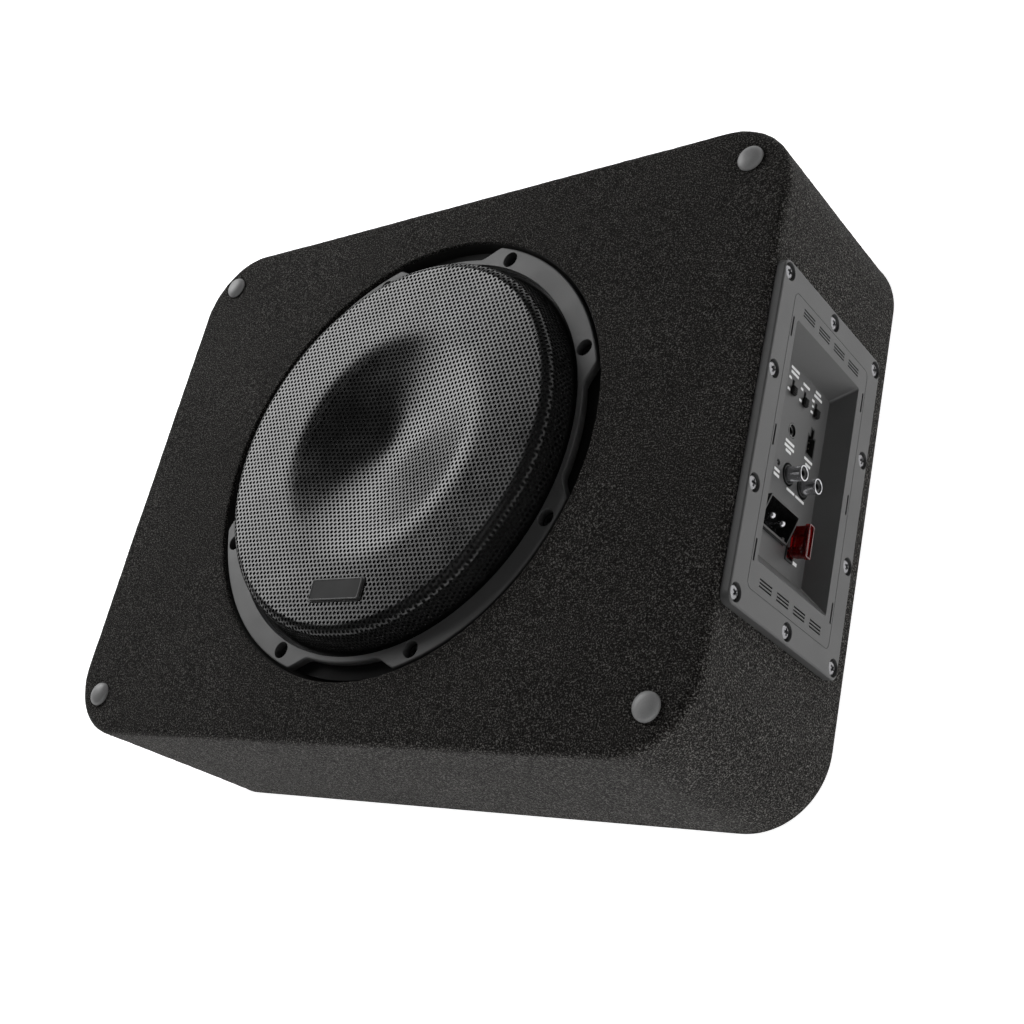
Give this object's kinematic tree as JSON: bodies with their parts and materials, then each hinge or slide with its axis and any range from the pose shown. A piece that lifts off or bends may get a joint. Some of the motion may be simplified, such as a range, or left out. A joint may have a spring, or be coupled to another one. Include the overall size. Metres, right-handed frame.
{
  "type": "powered car subwoofer",
  "caption": "Flat carpet-covered car subwoofer box with a large driver behind a dished perforated grille and an amplifier panel set into an end.",
  "frame": {"origin": "centre of the flat back face, on the surface the box lies on", "axes": "+Z out of the speaker face, +X towards the end with the amplifier panel, +Y towards the upper long side"},
  "size_m": [0.457, 0.342, 0.146],
  "materials": {
    "mdf": "black-stained MDF, matte",
    "carpet": "charcoal needle-felt carpet with pale fibre flecks",
    "cap_grey": "satin grey moulded plastic",
    "ring_grey": "satin grey moulded plastic",
    "grille_steel": "dark grey powder-coated perforated steel",
    "soft_black": "matte black moulded plastic",
    "badge_grey": "satin dark grey plate",
    "chassis_black": "semi-gloss black paint on pressed steel",
    "foam_rubber": "closed-cell rubber",
    "dark_steel": "black-oxide steel",
    "cone_paper": "pressed paper pulp, black",
    "bare_aluminium": "plain aluminium",
    "copper": "enamelled copper wire",
    "roll_rubber": "satin rubber",
    "spider_cloth": "resin-treated cotton cloth",
    "plain_steel": "zinc-plated steel",
    "ferrite": "sintered ferrite",
    "wire_jacket": "PVC jacket",
    "panel_grey": "fine-textured grey moulded plastic",
    "bright_steel": "zinc-plated steel",
    "bright_chrome": "nickel plating",
    "lens_dark": "unlit tinted lens",
    "tinned_brass": "tinned contact",
    "gloss_black": "gloss black moulded plastic",
    "fuse_red": "clear red plastic",
    "board_green": "solder mask over glass-epoxy board",
    "cover_steel": "galvanised sheet",
    "can_black": "sleeved component"
  },
  "bodies": {
    "cabinet": {"amp_cover": "cover_steel", "amp_panel": "panel_grey", "amplifier_end": "mdf", "back_panel": "mdf", "badge_base": "soft_black", "badge_plate": "badge_grey", "baffle_screws": "dark_steel", "capacitors": "can_black", "carpet_back": "carpet", "carpet_cover": "carpet", "circuit_board": "board_green", "corner_posts": "mdf", "cover_screws": "bright_steel", "driver_chassis": "chassis_black", "driver_gasket": "foam_rubber", "driver_screws": "dark_steel", "front_baffle": "mdf", "fuse_holder": "soft_black", "grille": "grille_steel", "heat_sink": "bare_aluminium", "line_input_bases": "soft_black", "line_input_cores": "soft_black", "line_input_shells": "bright_chrome", "lower_side": "mdf", "magnet": "ferrite", "magnet_boot": "foam_rubber", "panel_gasket": "foam_rubber", "panel_screws": "bright_steel", "plain_end": "mdf", "power_latch": "panel_grey", "power_pins": "bright_chrome", "power_socket": "gloss_black", "remote_jack": "soft_black", "screw_caps": "cap_grey", "speaker_input": "soft_black", "speaker_input_pins": "tinned_brass", "speaker_wires": "wire_jacket", "spider": "spider_cloth", "status_light": "lens_dark", "surround": "roll_rubber", "switch_cases": "soft_black", "terminal_strip": "soft_black", "top_plate": "plain_steel", "toroid_coil": "copper", "transistors": "can_black", "trim_ring": "ring_grey", "upper_side": "mdf", "yoke": "plain_steel"},
    "moving_cone": {"cone": "cone_paper", "dust_cap": "cone_paper", "coil_former": "bare_aluminium", "coil_winding": "copper"},
    "phase_slider": {"phase_switch": "soft_black"},
    "crossover_slider": {"crossover_switch": "soft_black"},
    "gain_slider": {"gain_switch": "soft_black"},
    "pulled_fuse": {"fuse": "fuse_red", "fuse_blades": "tinned_brass"}
  },
  "joints": [
    {"name": "cone_travel", "type": "slide", "parent": "cabinet", "child": "moving_cone", "axis": [0, 0, 1], "range_m": [-0.008, 0.008], "stiffness_N_per_m": 4000, "deforming": ["surround", "spider"]},
    {"name": "phase_slide", "type": "slide", "parent": "cabinet", "child": "phase_slider", "axis": [0, 1, 0], "range_m": [0, 0.0045]},
    {"name": "crossover_slide", "type": "slide", "parent": "cabinet", "child": "crossover_slider", "axis": [0, 1, 0], "range_m": [0, 0.0045]},
    {"name": "gain_slide", "type": "slide", "parent": "cabinet", "child": "gain_slider", "axis": [0, 1, 0], "range_m": [0, 0.0045]},
    {"name": "fuse_pull", "type": "slide", "parent": "cabinet", "child": "pulled_fuse", "axis": [1, 0, 0], "range_m": [0, 0.007]}
  ]
}
